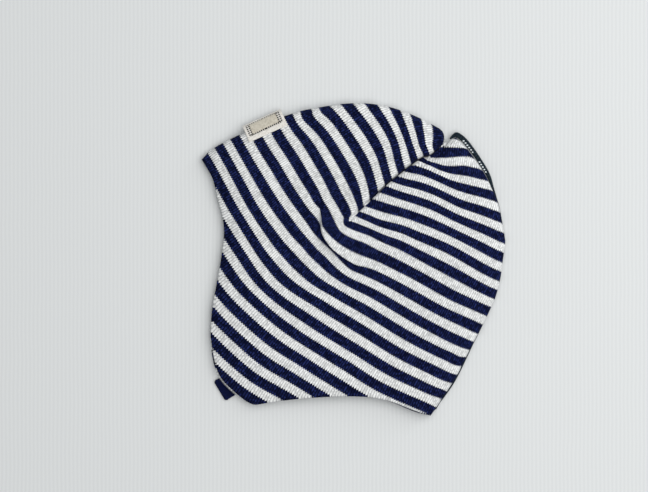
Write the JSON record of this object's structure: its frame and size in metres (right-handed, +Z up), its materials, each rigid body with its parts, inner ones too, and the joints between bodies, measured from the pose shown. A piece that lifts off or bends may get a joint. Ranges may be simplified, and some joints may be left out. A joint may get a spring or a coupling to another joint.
{
  "type": "earflap hat",
  "caption": "Striped knitted baby hat with earflaps, lying flat on its side, with a dart that shapes the crown.",
  "frame": {"origin": "middle of the hat's footprint as it lies, on the surface that it lies on", "axes": "+X from the face opening towards the back of the head, +Y from the neck opening towards the crown, +Z up, out of the near side of the hat"},
  "size_m": [0.2132, 0.2192, 0.0164],
  "materials": {
    "striped_knit": "matt fine knit in dark navy and off-white stripes",
    "woven_label": "woven beige cotton",
    "navy_ribbon": "woven navy ribbon",
    "overlock_thread": "dark overlock thread with pale loops"
  },
  "bodies": {
    "root": {"hat_shell": "striped_knit", "front_label": "woven_label", "edge_tag": "navy_ribbon", "back_seam": "overlock_thread"}
  },
  "joints": []
}
